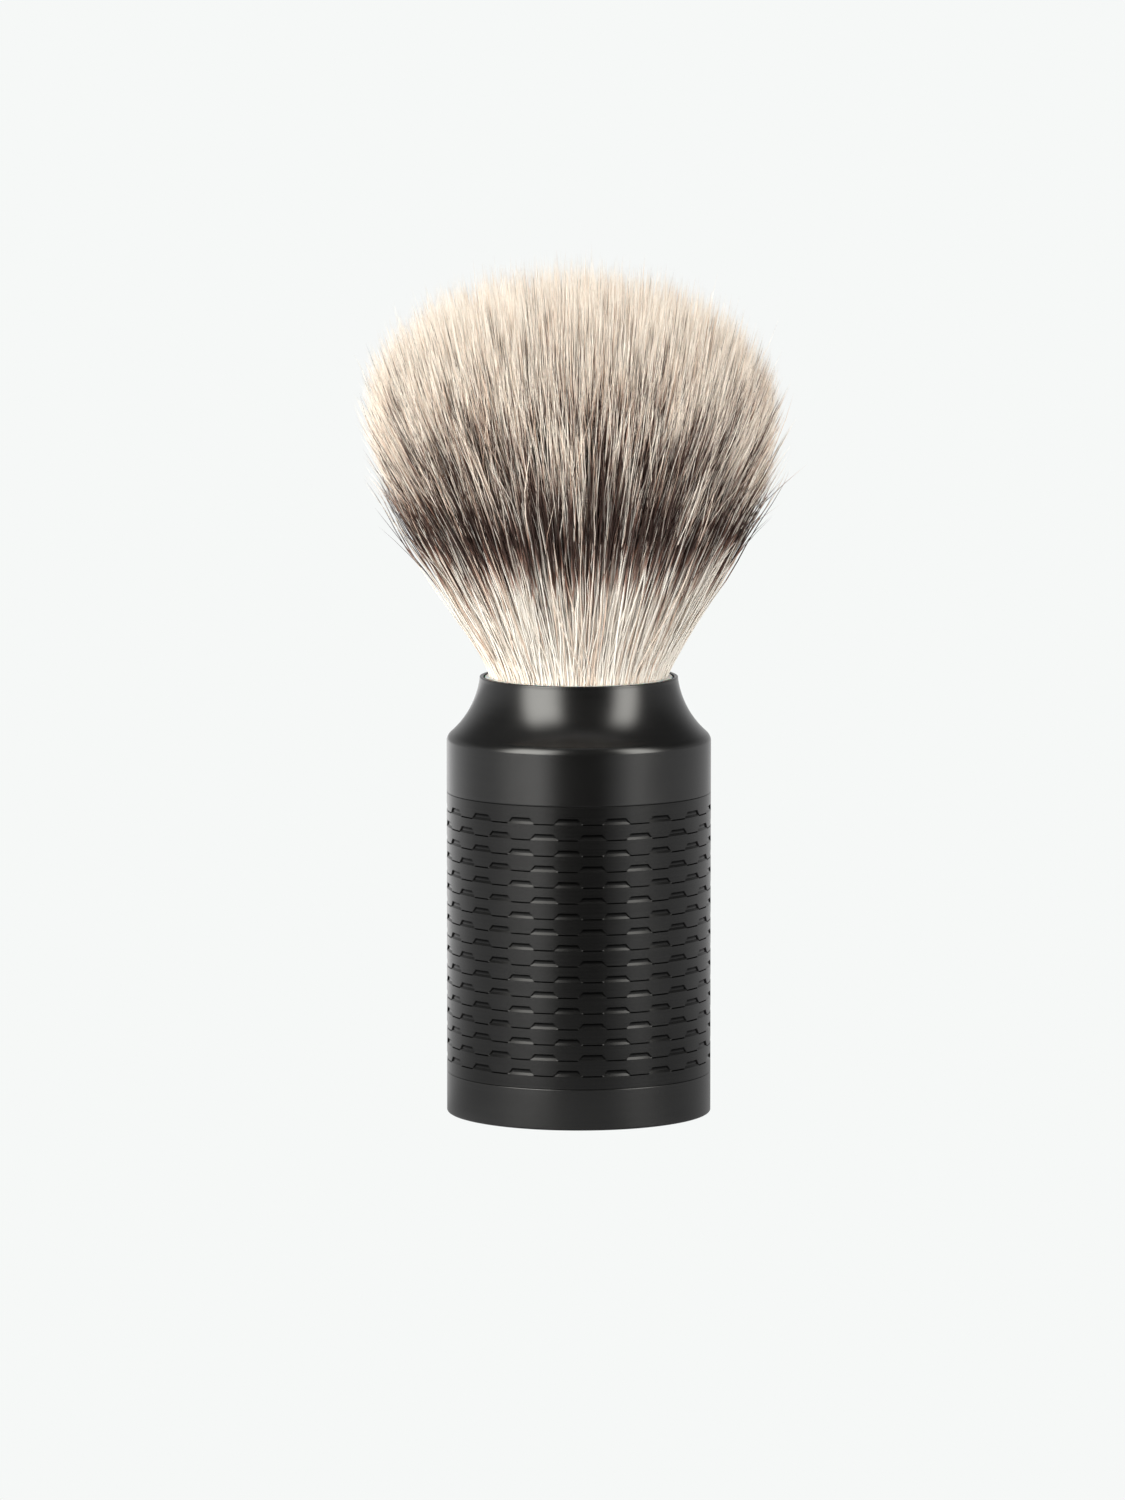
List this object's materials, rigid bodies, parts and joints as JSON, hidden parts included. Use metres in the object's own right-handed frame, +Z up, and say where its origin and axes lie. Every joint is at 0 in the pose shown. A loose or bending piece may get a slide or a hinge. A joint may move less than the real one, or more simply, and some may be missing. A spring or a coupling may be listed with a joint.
{
  "type": "shaving brush",
  "caption": "Upright shaving brush: a fanned synthetic fibre head that screws into a black turned steel handle with a textured grip.",
  "frame": {"origin": "centre of the foot, on the surface the brush stands on", "axes": "+Z up along the brush's axis, towards the fibre tips; -Y towards the viewer"},
  "size_m": [0.0482, 0.0482, 0.0962],
  "materials": {
    "black_steel": "satin black coating",
    "sleeve_steel": "satin black coating",
    "tube_aluminium": "turned",
    "brass": "machined",
    "rubber": "matte",
    "cup_plastic": "translucent, satin",
    "resin": "cast",
    "binding_cord": "wound cord",
    "root_fibre": "cream synthetic fibre",
    "crown_fibre": "dark-banded synthetic fibre with ivory tips"
  },
  "bodies": {
    "handle": {"foot_pad": "rubber", "base_cap": "black_steel", "lower_seal_ring": "rubber", "core_tube": "tube_aluminium", "grip_sleeve": "sleeve_steel", "upper_seal_ring": "rubber", "collar": "black_steel", "thread_insert": "brass"},
    "washer": {"head_washer": "rubber"},
    "head": {"threaded_stud": "brass", "knot_cup": "cup_plastic", "resin_plug": "resin", "knot_binding": "binding_cord", "fibre_root": "root_fibre"},
    "tuft": {"fibre_crown": "crown_fibre"}
  },
  "joints": [
    {"name": "head_lift", "type": "slide", "parent": "handle", "child": "washer", "axis": [0, 0, 1], "range_m": [0, 0.00625]},
    {"name": "head_turn", "type": "hinge", "parent": "washer", "child": "head", "pos_m": [0, 0, 0.0382], "axis": [0, 0, 1], "range_deg": [0, 1800]},
    {"name": "tuft_flex", "type": "hinge", "parent": "head", "child": "tuft", "pos_m": [0, 0, 0.054], "axis": [0, 1, 0], "range_deg": [-20, 20], "stiffness_Nm_per_rad": 0.15}
  ],
  "couplings": [
    {"joint": "head_turn", "follows": "head_lift", "rad_per_m": 5026.5}
  ]
}
